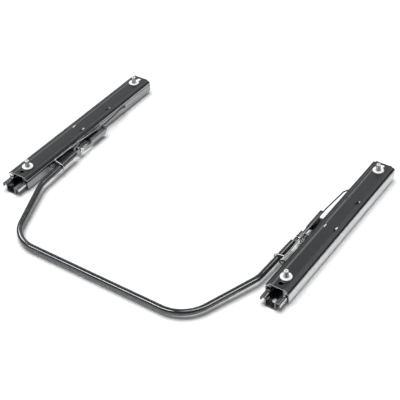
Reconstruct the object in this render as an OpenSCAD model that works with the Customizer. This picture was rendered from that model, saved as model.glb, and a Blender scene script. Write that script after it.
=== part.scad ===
// Pair of seat slide rails joined by a lift-up release bar.
// X runs across the car, Y to the rear and Z up.
// The origin lies on the floor, midway between the four floor bolts.
// Each rail is drawn about its own centre line with +X pointing to the inner side, where its latch is.

/* [Rails] */
// Distance between the two rails, centre to centre
rail_spacing = 551; // [480:1:620]
// Length of the fixed lower rails
lower_len = 380; // [370:1:420]
// Length of the sliding upper rails
upper_len = 380; // [370:1:400]
// How far the upper rails stand to the rear of the lower rails at rest
rail_shift = 22; // [12:1:26]
// Sheet thickness of the lower rail
lower_t = 2.5; // [2:0.1:2.6]
// Height of the lower rail's flanges above the floor
lower_h = 18; // [17.5:0.1:20]
// Width of the lower rail's channel, outside
lower_w = 21; // [20:0.5:22]
// Width of the lower rail over its lips
lip_w = 38; // [37:0.1:38.2]
// Sheet thickness of the cover on the upper rail
cover_t = 1.6; // [1.2:0.1:2]
// Width of the upper rail
cover_w = 44.4; // [44:0.1:46]
// Sheet thickness of the guide channels
channel_t = 1.8; // [1.5:0.1:2]
// Gap between the upper rail and the floor
floor_gap = 1.3; // [1:0.1:2]
// Inner bend radius of the rails
bend_r = 1; // [0.8:0.1:1.2]

/* [Balls] */
// Diameter of the small upper balls
small_ball_d = 4; // [3.5:0.1:4.2]
// Diameter of the large lower balls
large_ball_d = 6.35; // [5.5:0.05:6.4]
// Running gap on each side of a ball
ball_gap = 0.3; // [0.25:0.05:0.35]
// Length of one ball cage
cage_len = 76; // [72:1:78]
// Distance between the balls of one cage
ball_pitch = 30; // [26:1:32]
// Distance of each cage from the middle of the overlap
cage_reach = 105; // [104:0.5:106]

/* [Fixings] */
// Distance of each floor bolt hole from the end of the lower rail
bolt_inset = 17; // [15:1:20]
// Diameter of the floor bolt holes
bolt_hole_d = 10.5; // [8.5:0.5:11]
// Stud diameter
stud_d = 8; // [6:1:8]
// Height of a stud above the cover
stud_h = 14; // [10:1:22]
// Distance of the front stud from the front end of the upper rail
front_stud = 28; // [26:1:30]
// Distance of the rear stud from the rear end of the upper rail
rear_stud = 24; // [22:1:26]
// Outer diameter of the stud washers
washer_d = 20.5; // [17:0.5:21]
// Thickness of the stud washers
washer_t = 2; // [1.5:0.1:2.5]

/* [Release bar] */
// Outer diameter of the release bar
bar_d = 11; // [10.5:0.1:11.5]
// Wall thickness of the release bar
bar_wall = 1.5; // [1.3:0.1:1.6]
// Distance of the bar's ends from the rail's centre line
bar_end_x = 39; // [38.5:0.1:39.5]
// Distance of the first bend from the rail's centre line
bar_bend_x = 43.3; // [42:0.1:46]
// Distance of the front corner from the rail's centre line
bar_corner_x = 96.8; // [80:0.1:110]
// How far the bar's ends lie behind the front end of the upper rail
bar_end_y = 117; // [114:1:118]
// How far the first bend lies in front of the bar's ends
bar_bend_y = 102.8; // [95:0.1:110]
// How far the front of the bar lies in front of its ends
bar_front_y = 240.9; // [220:0.1:270]
// Height of the bar's ends above the floor
bar_end_z = 17.6; // [17.2:0.1:18]
// Slope of the bar down to the front, in degrees
bar_slope = 1.55; // [1:0.05:1.8]
// Bend radius at the front corners
corner_r = 63.6; // [40:0.1:80]
// Bend radius beside the rails
side_r = 61.9; // [40:0.1:80]

/* [Latch] */
// Sheet thickness of the latch lever
lever_t = 2.5; // [2:0.1:2.6]
// Distance of the lever's pivot behind the front end of the upper rail
pivot_y = 135; // [134:0.5:136]
// Height of the lever's pivot above the floor
pivot_z = 14.3; // [14:0.1:14.8]
// Diameter of the pivot rivet
pivot_d = 6; // [5:0.5:7]
// Radial play of the lever on its rivet
pivot_play = 0.05; // [0.03:0.01:0.1]
// Pitch of the latch teeth and of the lock notches
tooth_pitch = 12.5; // [11.5:0.5:12.5]
// Width of one latch tooth
tooth_w = 6; // [5:0.1:6.4]
// Height of a latch tooth above the lever's plate
tooth_h = 2.5; // [2:0.1:2.8]
// Gap between the teeth and the lower rail's lip while the latch is open
latch_gap = 0.25; // [0.2:0.05:0.4]
// Depth of the lock notches in the lip
notch_h = 3.5; // [3:0.1:4]
// Play on each side of a tooth
tooth_play = 0.6; // [0.4:0.1:0.8]
// Diameter of the spring wire
wire_d = 2.5; // [2:0.1:2.6]

/* [Hidden] */
$fn = 64;
left = -1;
right = 1;
eps = 1;
front_y = rail_shift - upper_len / 2;
rear_y = front_y + upper_len;
cover_x = cover_w / 2;

// Heights, stacked from the floor
channel_lip_z = floor_gap + channel_t;
large_ball_z = channel_lip_z + ball_gap + large_ball_d / 2;
lip_z = channel_lip_z + 2 * ball_gap + large_ball_d;
small_ball_z = lower_h + ball_gap + small_ball_d / 2;
flange_z = lower_h + 2 * ball_gap + small_ball_d;
seat_z = flange_z + channel_t;
weld_gap = 0.05;
cover_z = seat_z + weld_gap;

// Lower rail, half of its section
lip_x = lip_w / 2;
wall_x = lower_w / 2;
lip_run = lower_h - lower_t - bend_r - lip_z;
flange_run = lip_x - lower_t - wall_x - 2 * bend_r;
wall_run = lower_h - 2 * (lower_t + bend_r);
floor_run = lower_w - 2 * (lower_t + bend_r);
bolt_y = lower_len / 2 - bolt_inset;

// Cover: flat along its middle, a round ridge on either side of the washers, bent round the channels
joggle_r = 0.3;
rim_gap = 0.1;
rim_drop = 3.4;
rim_z = cover_z - rim_drop;
cover_corner_r = joggle_r + channel_t + rim_gap;
crown_rise = 2.1;
ridge_gap = 0.25;
ridge_r = 5;
ridge_h = 0.6;
ridge_lap = 1;
ridge_foot = washer_d / 2 + ridge_gap;
ridge_x = ridge_foot + sqrt(ridge_r * ridge_r - (ridge_r - ridge_h) * (ridge_r - ridge_h));
crown_half = ridge_foot + ridge_lap;
crown_z = cover_z + crown_rise + cover_t;
crown_lap = 0.5;
crown_inset = 0.1;
rim_run = cover_z - cover_corner_r - rim_z;
lance_ys = [176, 257];
lance_len = 12;
tongue_x = 9.2;
tongue_w = 4;
tongue_drop = 14;
tongue_side_gap = 0.2;
tongue_end_gap = 1;
tongue_root = 0.4;
tongue_sink = 0.3;
slit_x = -10.9;
slit_w = 1.6;
end_hole_d = 9;
end_hole_step = 16;
front_stud_y = front_y + front_stud;
rear_stud_y = rear_y - rear_stud;
neck_step = 0.2;
neck_d = stud_d + 2 * neck_step;
neck_h = washer_t + neck_step;
stud_head_d = 12;
stud_head_h = 2.6;
stud_tip = 1.2;
stud_centre_d = 2.6;
stud_centre_deep = 1.5;

// Guide channels: wall, joggle under the cover's rim, flange under the cover
channel_lip_x = 15;
channel_foot_r = 1.2;
joggle_angle = 45;
joggle_drop = 0.15;
joggle_land = seat_z - channel_t - joggle_r - rim_z + joggle_drop;
joggle_in = cover_t + rim_gap;
joggle_run = (joggle_in - (2 * joggle_r + channel_t) * (1 - cos(joggle_angle))) / sin(joggle_angle);
joggle_h = (2 * joggle_r + channel_t) * sin(joggle_angle) + joggle_run * cos(joggle_angle);
channel_wall_run = seat_z - joggle_r - joggle_land - joggle_h - floor_gap - channel_foot_r - 2 * channel_t;
channel_flange_x = 10.8;
stop_gap = 0.5;
stop_inset = 1;
wall_in = cover_x - channel_t;
tail_cut = 8;

// Openings in the inner guide channel, lengths from the upper rail's front end
latch_window = [150, 224];
window_clear = 0.55;
// Slots: [from, to, lower edge, upper edge], the edges measured down from the cover's seat
slots = [[6, 60, 6.2, 4.8], [65, 126, 9.8, 4.8], [160, 214, 7.8, 5.8]];

// Balls and cages
small_ball_x = wall_x + bend_r + flange_run / 2;
large_ball_x = wall_in - ball_gap - large_ball_d / 2;
cage_ahead = 3;
cage_mid = rail_shift / 2 - cage_ahead;
cage_play = 0.1;
small_cage_w = 4.6;
small_cage_t = 1.4;
large_cage_w = 7;
large_cage_inset = 0.6;
large_cage_t = 2;

// Latch lever
lever_x = bar_end_x + lever_t / 2;
lever_plate_z = lip_z - latch_gap - tooth_h;
lever_low_z = lever_plate_z - lever_t;
lever_bend_r = 1.5;
lever_lap = 0.5;
lever_heel_z = 10.4;
lever_heel = 6;
lever_heel_lift = 2.9;
lever_plate_rear = 208;
lever_plate_front = 172;
lever_flange_z = 20.2;
lever_flange = [165, 213];
lever_flange_x = 33.4;
lever_dip = [148.5, 152, 163];
lever_dip_z = 13.6;
lever_nose = 3.3;
lever_tail_z = 14.5;
lever_hole = [36.6, 207];
lever_hole_d = 4.5;
tongue_reach = 20;
tongue_half = 3.2;
tube_gap = 0.3;
tooth_inset = 0.15;
tooth_first = 178;
tooth_count = 3;
notch_front = -8;
notch_rear = 6;
notch_z = lip_z + notch_h;

// Pivot bracket, rivet and spacer
bracket_t = 2;
bracket_half = 5;
bracket_top = 24.8;
bracket_low = 8;
bracket_leg_low = 9.2;
bracket_leg_x = 32.2;
rivet_head_d = 10;
rivet_head_h = 1.8;
rivet_bore_d = 3.4;
rivet_bore_deep = 5;
spacer_d = 8;
side_gap = 0.1;

// Ear beside the hook: [from, to, low] of its base, and its eye
clip_base = [57, 63, 9];
clip_t = 1.5;
clip_z = 19.5;
clip_reach = 5.6;
clip_r = 5.5;
clip_eye_y = 63;
clip_eye_d = 4.6;

// Spring wire: from the hole in the channel wall, over the bracket, to the hook round the bar
wire_hole_d = 4.5;
wire_bend_r = 4;
wire_gap = 0.1;
wire_anchor_in = 0.9;
wire_anchor = [wall_in - wire_anchor_in, 292, 16.4];
wire_over_bracket = bracket_top + wire_d / 2 + wire_gap;
wire_lead = 0.5;
// Bar's centre where the hook crosses it, and the line of the hook that just clears the bar
hook_y = 71.5;
hook_x = bar_end_x + (bar_bend_x - bar_end_x) * (bar_end_y - hook_y) / bar_bend_y;
hook_z = bar_end_z - (bar_end_y - hook_y) * tan(bar_slope);
hook_r = (bar_d + wire_d) / 2 + wire_gap;
hook_fall = 13.5;
hook_root_x = 27.5;
hook_tip_z = 9.5;
hook_lean = 0.3;
function hook_line(x) = hook_z + hook_r / cos(hook_fall) - (x - hook_x) * tan(hook_fall);
wire_route = [wire_anchor, [25.6, wire_anchor[1], wire_anchor[2]], [27.4, 276, 22.1], [31.5, 218.6, 21.6],
              [29.2, pivot_y + bracket_half + wire_lead, wire_over_bracket],
              [hook_root_x, hook_y, hook_line(hook_root_x)],
              [hook_x + hook_r, hook_y, hook_line(hook_x + hook_r)],
              [hook_x + hook_r, hook_y + hook_lean, hook_tip_z]];

// Plan of the bar: half of its straight front, then the bends and runs of its right arm
bar_arm = [bar_corner_x - bar_bend_x, bar_front_y - bar_bend_y];
bar_tail = [bar_bend_x - bar_end_x, bar_bend_y];
corner_turn = atan2(bar_arm[1], bar_arm[0]);
side_turn = atan2(bar_tail[1], bar_tail[0]) - corner_turn;
corner_cut = corner_r * tan(corner_turn / 2);
side_cut = side_r * tan(side_turn / 2);
bar_front_half = rail_spacing / 2 - bar_corner_x - corner_cut;
bar_steps = [[corner_turn, corner_r, norm(bar_arm) - corner_cut - side_cut],
             [side_turn, side_r, norm(bar_tail) - side_cut]];

// Bends of round stock are a hair fuller than the straights and lap over their ends
bar_swell = 0.1;
bar_lap = 0.6;
wire_swell = 0.02;
wire_lap = 0.1;

// Places one rail's pieces, with the latch side turned to the middle of the car
module at_rail(side) {
    translate([side * rail_spacing / 2, 0, 0]) mirror([side > 0 ? 1 : 0, 0, 0]) children();
}

// Places a piece that is the same on both rails
module at_either_rail(side) {
    translate([side * rail_spacing / 2, 0, 0]) children();
}

// Extrudes a section drawn in X and Z along Y
module along_y(from, to) {
    translate([0, to, 0]) rotate([90, 0, 0]) linear_extrude(to - from) children();
}

// Extrudes an outline drawn in Y and Z along X
module along_x(from, to) {
    translate([from, 0, 0]) rotate([90, 0, 90]) linear_extrude(to - from) children();
}

// Part of a ring between two angles
module ring_sector(r0, r1, a0, a1) {
    reach = 2 * r1;
    mid = (a0 + a1) / 2;
    intersection() {
        difference() {
            circle(r1);
            circle(r0);
        }
        polygon([[0, 0], reach * [cos(a0), sin(a0)], 2 * reach * [cos(mid), sin(mid)],
                 reach * [cos(a1), sin(a1)]]);
    }
}

// Sheet strip bent along its length. Each step is [straight run, bend angle, inner radius].
module strip(steps, t, i = 0) {
    if (i < len(steps)) {
        run = steps[i][0];
        turn = steps[i][1];
        r = steps[i][2];
        square([run, t]);
        translate([run, 0])
            if (turn > 0)
                translate([0, t + r]) {
                    ring_sector(r, r + t, -90, turn - 90);
                    rotate(turn) translate([0, -t - r]) strip(steps, t, i + 1);
                }
            else if (turn < 0)
                translate([0, -r]) {
                    ring_sector(r, r + t, 90 + turn, 90);
                    rotate(turn) translate([0, r]) strip(steps, t, i + 1);
                }
    }
}

// Round tube bent to the left in its own plane. Each step is [bend angle, bend radius, straight run].
module bent_tube(steps, d, bore, i = 0) {
    if (i < len(steps)) {
        turn = steps[i][0];
        r = steps[i][1];
        run = steps[i][2];
        translate([0, r, 0]) {
            rotate(-90) rotate_extrude(angle = turn) translate([r, 0]) ring(d + bar_swell, bore - bar_swell);
            rotate(turn) translate([0, -r, 0]) {
                straight_tube(-bar_lap, run + (i < len(steps) - 1 ? bar_lap : 0), d, bore);
                translate([run, 0, 0]) bent_tube(steps, d, bore, i + 1);
            }
        }
    }
}

module straight_tube(from, to, d, bore) {
    translate([from, 0, 0]) rotate([0, 90, 0]) linear_extrude(to - from) ring(d, bore);
}

module ring(d, bore) {
    difference() {
        circle(d = d);
        circle(d = bore);
    }
}

// Straight round rod between two points
module rod(a, b, d) {
    v = b - a;
    translate(a) rotate([0, acos(v[2] / norm(v)), atan2(v[1], v[0])]) cylinder(d = d, h = norm(v));
}

// Direction from one point to another
function heading(a, b) = (b - a) / norm(b - a);

// Angle between two directions
function bend_between(u, v) = acos(u * v);

// Bend of a round rod that turns from direction u to direction v at the corner p
module rod_bend(p, u, v, r, d) {
    turn = bend_between(u, v);
    n = heading(u * (u * v), v);
    axis = cross(u, n);
    centre = p - u * r * tan(turn / 2) + n * r;
    multmatrix([[-n[0], u[0], axis[0], centre[0]], [-n[1], u[1], axis[1], centre[1]],
                [-n[2], u[2], axis[2], centre[2]], [0, 0, 0, 1]])
        rotate_extrude(angle = turn) translate([r, 0]) circle(d = d + wire_swell);
}

// Round rod along a list of points, bent to one radius at each corner between them
module bent_rod(pts, r, d) {
    last = len(pts) - 1;
    u = [for (i = [0:last - 1]) heading(pts[i], pts[i + 1])];
    cut = [for (i = [0:last]) i == 0 || i == last ? 0 : r * tan(bend_between(u[i - 1], u[i]) / 2)];
    lap = [for (i = [0:last]) i == 0 || i == last ? 0 : wire_lap];
    for (i = [0:last - 1])
        rod(pts[i] + u[i] * (cut[i] - lap[i]), pts[i + 1] - u[i] * (cut[i + 1] - lap[i + 1]), d);
    for (i = [1:last - 1]) rod_bend(pts[i], u[i - 1], u[i], r, d);
}

// Block given by its two opposite corners
module block(a, b) {
    translate(a) cube(b - a);
}

module lower_section() {
    translate([-lip_x + lower_t, lip_z]) rotate(90)
        strip([[lip_run, -90, bend_r], [flange_run, -90, bend_r], [wall_run, 90, bend_r],
               [floor_run, 90, bend_r], [wall_run, -90, bend_r], [flange_run, -90, bend_r],
               [lip_run, 0, 0]], lower_t);
}

module lower_rail(side) {
    first = front_y + tooth_first;
    notch_w = tooth_w + 2 * tooth_play;
    color("dimgray") at_rail(side) difference() {
        along_y(-lower_len / 2, lower_len / 2) lower_section();
        for (y = [-bolt_y, bolt_y])
            translate([0, y, -eps]) cylinder(d = bolt_hole_d, h = lower_t + 2 * eps);
        for (k = [notch_front:notch_rear])
            block([lip_x - lower_t - eps, first + k * tooth_pitch - notch_w / 2, lip_z - eps],
                  [lip_x + eps, first + k * tooth_pitch + notch_w / 2, notch_z]);
    }
}

module crowned_section() {
    edge = cover_x - cover_t - cover_corner_r - crown_lap;
    low = cover_z + crown_inset;
    high = cover_z + cover_t - crown_inset;
    for (m = [0, 1]) mirror([m, 0]) translate([-cover_x + cover_t, rim_z]) rotate(90)
        strip([[rim_run, -90, cover_corner_r], [2 * crown_lap, 0, 0]], cover_t);
    polygon([[-edge, low], [-crown_half, crown_z - cover_t], [crown_half, crown_z - cover_t], [edge, low],
             [edge, high], [crown_half, crown_z], [-crown_half, crown_z], [-edge, high]]);
}

// Two round ridges let into the crown, one on either side of the washers
module ridge_section() {
    edge = cover_x - cover_t - cover_corner_r;
    sunk = crown_z - cover_t / 2;
    for (m = [0, 1]) mirror([m, 0]) intersection() {
        translate([ridge_x, crown_z + ridge_h - ridge_r]) circle(ridge_r);
        polygon([[ridge_foot - ridge_lap, sunk], [crown_half, sunk], [edge, sunk - crown_rise],
                 [edge, crown_z + cover_t], [ridge_foot - ridge_lap, crown_z + cover_t]]);
    }
}

// Tongue lanced out of the cover and pressed down at its front end
module tongue(y) {
    translate([tongue_x - tongue_w / 2, y + lance_len / 2, crown_z]) rotate([tongue_drop, 0, 0])
        translate([tongue_side_gap, tongue_end_gap - lance_len, tongue_sink - cover_t])
            cube([tongue_w - 2 * tongue_side_gap, lance_len - tongue_end_gap + tongue_root,
                  cover_t - 2 * tongue_sink]);
}

module cover(side) {
    color("#3c3d3f") at_either_rail(side) {
        difference() {
            along_y(front_y, rear_y) {
                crowned_section();
                ridge_section();
            }
            for (y = [front_stud_y, rear_stud_y])
                translate([0, y, seat_z]) cylinder(d = neck_d, h = crown_z);
            for (y = [front_stud_y - end_hole_step, rear_stud_y + end_hole_step])
                translate([0, y, seat_z]) cylinder(d = end_hole_d, h = crown_z);
            for (d = lance_ys) {
                translate([tongue_x - tongue_w / 2, front_y + d - lance_len / 2, seat_z])
                    cube([tongue_w, lance_len, crown_z]);
                translate([slit_x - slit_w / 2, front_y + d - lance_len / 2, seat_z])
                    cube([slit_w, lance_len, crown_z]);
            }
        }
        for (d = lance_ys) tongue(front_y + d);
    }
}

module channel_section() {
    translate([channel_lip_x, floor_gap])
        strip([[cover_x - channel_t - channel_foot_r - channel_lip_x, 90, channel_foot_r],
               [channel_wall_run, joggle_angle, joggle_r], [joggle_run, -joggle_angle, joggle_r],
               [joggle_land, 90, joggle_r],
               [cover_x - joggle_in - channel_t - joggle_r - channel_flange_x, 0, 0]], channel_t);
}

// Ends of the channel turned in to keep the ball cages between them
module small_stop(y) {
    block([channel_flange_x + stop_inset, y, lower_h + stop_gap],
          [wall_in - joggle_in, y + channel_t, flange_z + channel_t / 2]);
}

module large_stop(y) {
    block([channel_lip_x, y, channel_lip_z - channel_t / 2],
          [wall_in - channel_foot_r, y + channel_t, lip_z - stop_gap]);
}

// Cuts the lower rear corner of a channel to a round
module tail_round() {
    along_x(channel_lip_x - eps, cover_x + eps) difference() {
        translate([rear_y - tail_cut, floor_gap - eps]) square([tail_cut + eps, tail_cut + eps]);
        translate([rear_y - tail_cut, floor_gap + tail_cut]) circle(tail_cut);
        translate([rear_y - tail_cut, floor_gap + tail_cut]) square([tail_cut, tail_cut]);
    }
}

module plain_channel() {
    difference() {
        along_y(front_y, rear_y) channel_section();
        tail_round();
    }
    small_stop(front_y);
    large_stop(front_y);
    small_stop(rear_y - channel_t);
    large_stop(rear_y - tail_cut - channel_t);
}

module inner_channel(side) {
    color("silver") at_rail(side) difference() {
        plain_channel();
        block([channel_lip_x - eps, front_y + latch_window[0], floor_gap - eps],
              [cover_x + eps, front_y + latch_window[1], lip_z + window_clear]);
        for (s = slots)
            block([wall_in - joggle_in - eps, front_y + s[0], seat_z - s[2]],
                  [cover_x + eps, front_y + s[1], seat_z - s[3]]);
        translate([wall_in - eps, front_y + wire_anchor[1], wire_anchor[2]]) rotate([0, 90, 0])
            cylinder(d = wire_hole_d, h = channel_t + 2 * eps);
    }
}

module outer_channel(side) {
    color("silver") at_rail(side) mirror([1, 0, 0]) plain_channel();
}

module studs(side) {
    color("gainsboro") at_either_rail(side) for (y = [front_stud_y, rear_stud_y])
        translate([0, y, crown_z]) difference() {
            union() {
                translate([0, 0, -cover_t - stud_head_h]) cylinder(d = stud_head_d, h = stud_head_h);
                translate([0, 0, -cover_t]) cylinder(d = neck_d, h = cover_t + neck_h);
                translate([0, 0, neck_h]) cylinder(d = stud_d, h = stud_h - stud_tip - neck_h);
                translate([0, 0, stud_h - stud_tip])
                    cylinder(d1 = stud_d, d2 = stud_d - 2 * stud_tip, h = stud_tip);
            }
            translate([0, 0, stud_h - stud_centre_deep])
                cylinder(d = stud_centre_d, h = stud_centre_deep + eps);
        }
}

module washers(side) {
    color("white") at_either_rail(side) for (y = [front_stud_y, rear_stud_y])
        translate([0, y, crown_z]) difference() {
            cylinder(d = washer_d, h = washer_t);
            translate([0, 0, -eps]) cylinder(d = neck_d, h = washer_t + 2 * eps);
        }
}

// Middle of each ball in one race, on both sides of the rail and in both cages
module at_balls(x, z) {
    for (sx = [-1, 1], sy = [-1, 1], k = [-1:1])
        translate([sx * x, cage_mid + sy * cage_reach + k * ball_pitch, z]) children();
}

// Flat strips with a hole for each ball; inset moves them towards the rail's middle
module cages(x, inset, z, w, t, d) {
    difference() {
        for (sx = [-1, 1], sy = [-1, 1])
            translate([sx * (x - inset) - w / 2, cage_mid + sy * cage_reach - cage_len / 2, z - t / 2])
                cube([w, cage_len, t]);
        at_balls(x, z) translate([0, 0, -t]) cylinder(d = d + 2 * cage_play, h = 2 * t);
    }
}

module small_cages(side) {
    color("#5a5c60") at_rail(side)
        cages(small_ball_x, 0, small_ball_z, small_cage_w, small_cage_t, small_ball_d);
}

module small_balls(side) {
    color("lightgray") at_rail(side) at_balls(small_ball_x, small_ball_z) sphere(d = small_ball_d);
}

module large_cages(side) {
    color("#5a5c60") at_rail(side)
        cages(large_ball_x, large_cage_inset, large_ball_z, large_cage_w, large_cage_t, large_ball_d);
}

module large_balls(side) {
    color("lightgray") at_rail(side) at_balls(large_ball_x, large_ball_z) sphere(d = large_ball_d);
}

// Strap that stands off the channel and carries the lever's pivot
module bracket(side) {
    outer_r = bend_r + bracket_t;
    color("silver") at_rail(side) difference() {
        along_y(front_y + pivot_y - bracket_half, front_y + pivot_y + bracket_half)
            translate([bracket_leg_x, bracket_leg_low]) rotate(90)
                strip([[bracket_top - outer_r - bracket_leg_low, 90, bend_r],
                       [bracket_leg_x - cover_x - 2 * outer_r, 90, bend_r],
                       [bracket_top - outer_r - bracket_low, 0, 0]], bracket_t);
        translate([bracket_leg_x - bracket_t - eps, front_y + pivot_y, pivot_z]) rotate([0, 90, 0])
            cylinder(d = pivot_d, h = bracket_t + 2 * eps);
    }
}

module pivot_rivet(side) {
    inner = bracket_leg_x - bracket_t - rivet_head_h;
    outer = lever_x + side_gap;
    color("silver") at_rail(side) translate([0, front_y + pivot_y, pivot_z]) rotate([0, 90, 0]) difference() {
        union() {
            translate([0, 0, inner]) cylinder(d = rivet_head_d, h = rivet_head_h);
            translate([0, 0, inner]) cylinder(d = pivot_d, h = outer - inner);
            translate([0, 0, outer]) cylinder(d = rivet_head_d, h = rivet_head_h);
        }
        translate([0, 0, outer + rivet_head_h - rivet_bore_deep])
            cylinder(d = rivet_bore_d, h = rivet_bore_deep + eps);
    }
}

module spacer(side) {
    span = lever_x - lever_t - side_gap - bracket_leg_x;
    color("silver") at_rail(side) translate([bracket_leg_x, front_y + pivot_y, pivot_z]) rotate([0, 90, 0])
        difference() {
            cylinder(d = spacer_d, h = span);
            translate([0, 0, -eps]) cylinder(d = pivot_d, h = span + 2 * eps);
        }
}

// Side outline of the lever's upright web, from the tongue in the bar to its rear end
module lever_outline() {
    tongue_z = bar_end_z - tongue_reach / 2 * tan(bar_slope);
    tongue_front = bar_end_y - tongue_reach;
    web_front = bar_end_y + tube_gap;
    fold = lever_bend_r + lever_t;
    polygon([[tongue_front, tongue_z - tongue_half], [web_front, tongue_z - tongue_half],
             [web_front, lever_heel_z], [pivot_y - lever_heel, lever_low_z + lever_heel_lift],
             [lever_plate_front, lever_low_z], [lever_plate_front, lever_low_z + fold],
             [lever_plate_rear, lever_low_z + fold], [lever_flange[1], lever_tail_z],
             [lever_flange[1], lever_flange_z - fold], [lever_flange[0], lever_flange_z - fold],
             [lever_dip[2], lever_dip_z], [lever_dip[1], lever_dip_z], [lever_dip[0], lever_flange_z],
             [web_front + lever_nose, lever_flange_z], [web_front, tongue_z + tongue_half],
             [tongue_front, tongue_z + tongue_half]]);
}

module latch_lever(side) {
    fold = lever_bend_r + lever_t;
    inner_edge = lip_x - lower_t + tooth_inset;
    color("silver") at_rail(side) translate([0, front_y, 0]) {
        difference() {
            along_x(lever_x - lever_t, lever_x) lever_outline();
            translate([lever_x - lever_t - eps, pivot_y, pivot_z]) rotate([0, 90, 0])
                cylinder(d = pivot_d + 2 * pivot_play, h = lever_t + 2 * eps);
        }
        along_y(lever_plate_front, lever_plate_rear) translate([inner_edge, lever_low_z])
            strip([[lever_x - fold - inner_edge, 90, lever_bend_r], [lever_lap, 0, 0]], lever_t);
        difference() {
            along_y(lever_flange[0], lever_flange[1])
                translate([lever_x, lever_flange_z - fold - lever_lap]) rotate(90)
                    strip([[lever_lap, 90, lever_bend_r], [lever_x - fold - lever_flange_x, 0, 0]], lever_t);
            translate([lever_hole[0], lever_hole[1], lever_flange_z - lever_t - eps])
                cylinder(d = lever_hole_d, h = lever_t + 2 * eps);
        }
        for (k = [0:tooth_count - 1])
            translate([inner_edge, tooth_first + k * tooth_pitch - tooth_w / 2, lever_plate_z - lever_lap])
                cube([lower_t - 2 * tooth_inset, tooth_w, tooth_h + lever_lap]);
    }
}

// Small ear on the channel beside the hook, with an eye in it
module wire_clip(side) {
    color("silver") at_rail(side) translate([cover_x, front_y, 0]) difference() {
        union() {
            block([0, clip_base[0], clip_base[2]], [clip_t, clip_base[1], clip_z]);
            block([0, clip_base[0], clip_z - clip_t], [clip_reach, clip_eye_y + clip_r, clip_z]);
            translate([clip_reach, clip_eye_y, clip_z - clip_t]) cylinder(r = clip_r, h = clip_t);
        }
        translate([clip_reach, clip_eye_y, clip_z - clip_t - eps])
            cylinder(d = clip_eye_d, h = clip_t + 2 * eps);
    }
}

module spring_wire(side) {
    color("lightgray") at_rail(side) translate([0, front_y, 0]) bent_rod(wire_route, wire_bend_r, wire_d);
}

module release_bar() {
    bore = bar_d - 2 * bar_wall;
    color("#202124") translate([0, front_y + bar_end_y, bar_end_z]) rotate([bar_slope, 0, 0])
        translate([0, -bar_front_y, 0]) {
            straight_tube(-bar_front_half - bar_lap, bar_front_half + bar_lap, bar_d, bore);
            for (m = [0, 1]) mirror([m, 0, 0]) translate([bar_front_half, 0, 0])
                bent_tube(bar_steps, bar_d, bore);
        }
}

lower_rail(left);  // left_lower_rail
cover(left);  // left_cover
inner_channel(left);  // left_inner_channel
outer_channel(left);  // left_outer_channel
studs(left);  // left_studs
washers(left);  // left_washers
small_cages(left);  // left_small_cages
small_balls(left);  // left_small_balls
large_cages(left);  // left_large_cages
large_balls(left);  // left_large_balls
bracket(left);  // left_bracket
pivot_rivet(left);  // left_pivot_rivet
spacer(left);  // left_spacer
latch_lever(left);  // left_latch_lever
spring_wire(left);  // left_spring_wire
wire_clip(left);  // left_wire_clip
lower_rail(right);  // right_lower_rail
cover(right);  // right_cover
inner_channel(right);  // right_inner_channel
outer_channel(right);  // right_outer_channel
studs(right);  // right_studs
washers(right);  // right_washers
small_cages(right);  // right_small_cages
small_balls(right);  // right_small_balls
large_cages(right);  // right_large_cages
large_balls(right);  // right_large_balls
bracket(right);  // right_bracket
pivot_rivet(right);  // right_pivot_rivet
spacer(right);  // right_spacer
latch_lever(right);  // right_latch_lever
spring_wire(right);  // right_spring_wire
wire_clip(right);  // right_wire_clip
release_bar();
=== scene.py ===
"""Finishes for a pair of seat slide rails, with finer round pieces in place of the plain round solids."""

import math

import bmesh
import bpy
import numpy as np
from mathutils import Matrix, Vector


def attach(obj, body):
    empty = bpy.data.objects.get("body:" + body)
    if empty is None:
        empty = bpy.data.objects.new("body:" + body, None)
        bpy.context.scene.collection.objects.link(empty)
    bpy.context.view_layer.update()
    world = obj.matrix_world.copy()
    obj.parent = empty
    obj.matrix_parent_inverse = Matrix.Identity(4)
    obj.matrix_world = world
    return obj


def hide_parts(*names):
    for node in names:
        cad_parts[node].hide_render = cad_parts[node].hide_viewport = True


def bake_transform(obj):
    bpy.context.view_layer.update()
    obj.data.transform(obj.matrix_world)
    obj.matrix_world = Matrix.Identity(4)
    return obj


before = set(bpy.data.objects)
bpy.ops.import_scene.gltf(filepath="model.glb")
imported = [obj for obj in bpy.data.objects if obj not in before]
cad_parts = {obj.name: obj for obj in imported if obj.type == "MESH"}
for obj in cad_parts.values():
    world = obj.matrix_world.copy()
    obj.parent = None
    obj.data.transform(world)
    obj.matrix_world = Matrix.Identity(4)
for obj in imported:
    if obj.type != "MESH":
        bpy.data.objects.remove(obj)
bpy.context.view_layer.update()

bl_info = {
    "name": "Seat slide rail finishes",
    "version": (1, 0, 0),
    "blender": (4, 5, 0),
    "location": "View3D > Sidebar > Slide rail",
    "description": "Gives a packed pair of seat slide rails its metal finishes and its finer round pieces",
    "category": "Object",
}

MM = 0.001
WHITE = (1.0, 1.0, 1.0, 1.0)
SIDES = ("left", "right")

# Places repeated from the part's source, in millimetres
RAIL_X = 275.5
FRONT_Y = -168.0
STUD_YS = (-140.0, 188.0)
CROWN_Z = 28.15
COVER_T = 1.6
LEVER_X = 40.25
LEVER_T = 2.5
PIVOT_Y = -33.0
PIVOT_Z = 14.3
BRACKET_X = 32.2
BRACKET_T = 2.0
SIDE_GAP = 0.1
FRONT_LANCE_Y = FRONT_Y + 176.0
REAR_LANCE_Y = FRONT_Y + 257.0
HOLE_STEP = 16.0

# Sockets of a Mix node that mixes colours
MIX_A = 6
MIX_B = 7
MIX_RESULT = 2

# Steps round a turned piece or the bar, and in a rounded edge
TURNED_STEPS = 48
EDGE_STEPS = 5


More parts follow.
